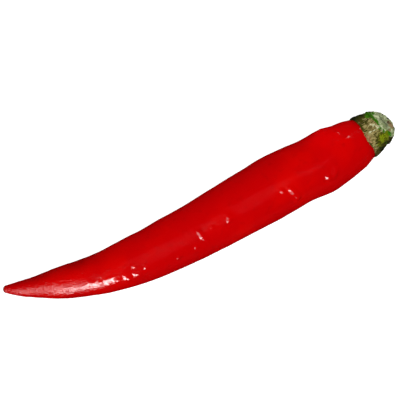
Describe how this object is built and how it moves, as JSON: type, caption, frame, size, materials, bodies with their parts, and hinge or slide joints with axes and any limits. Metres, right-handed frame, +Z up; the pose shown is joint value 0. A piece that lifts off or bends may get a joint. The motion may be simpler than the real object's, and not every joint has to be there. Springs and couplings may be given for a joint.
{
  "type": "chilli pepper",
  "caption": "Long red chilli pepper lying on its side, a curved tapering pod with a green calyx and a short snapped stalk.",
  "frame": {"origin": "middle of the bounding box at the surface that the pepper lies on", "axes": "+X along the pod from its tip towards the calyx, +Z up, and the pod bows towards -Y"},
  "size_m": [0.1278, 0.0204, 0.0178],
  "materials": {
    "pod_skin": "smooth waxy red skin, finely wrinkled across the pod",
    "calyx_skin": "dry fibrous green and tan",
    "broken_stalk": "green rind round a pale fibrous break"
  },
  "bodies": {
    "root": {"pod": "pod_skin", "calyx": "calyx_skin", "stalk_stub": "broken_stalk"}
  },
  "joints": []
}
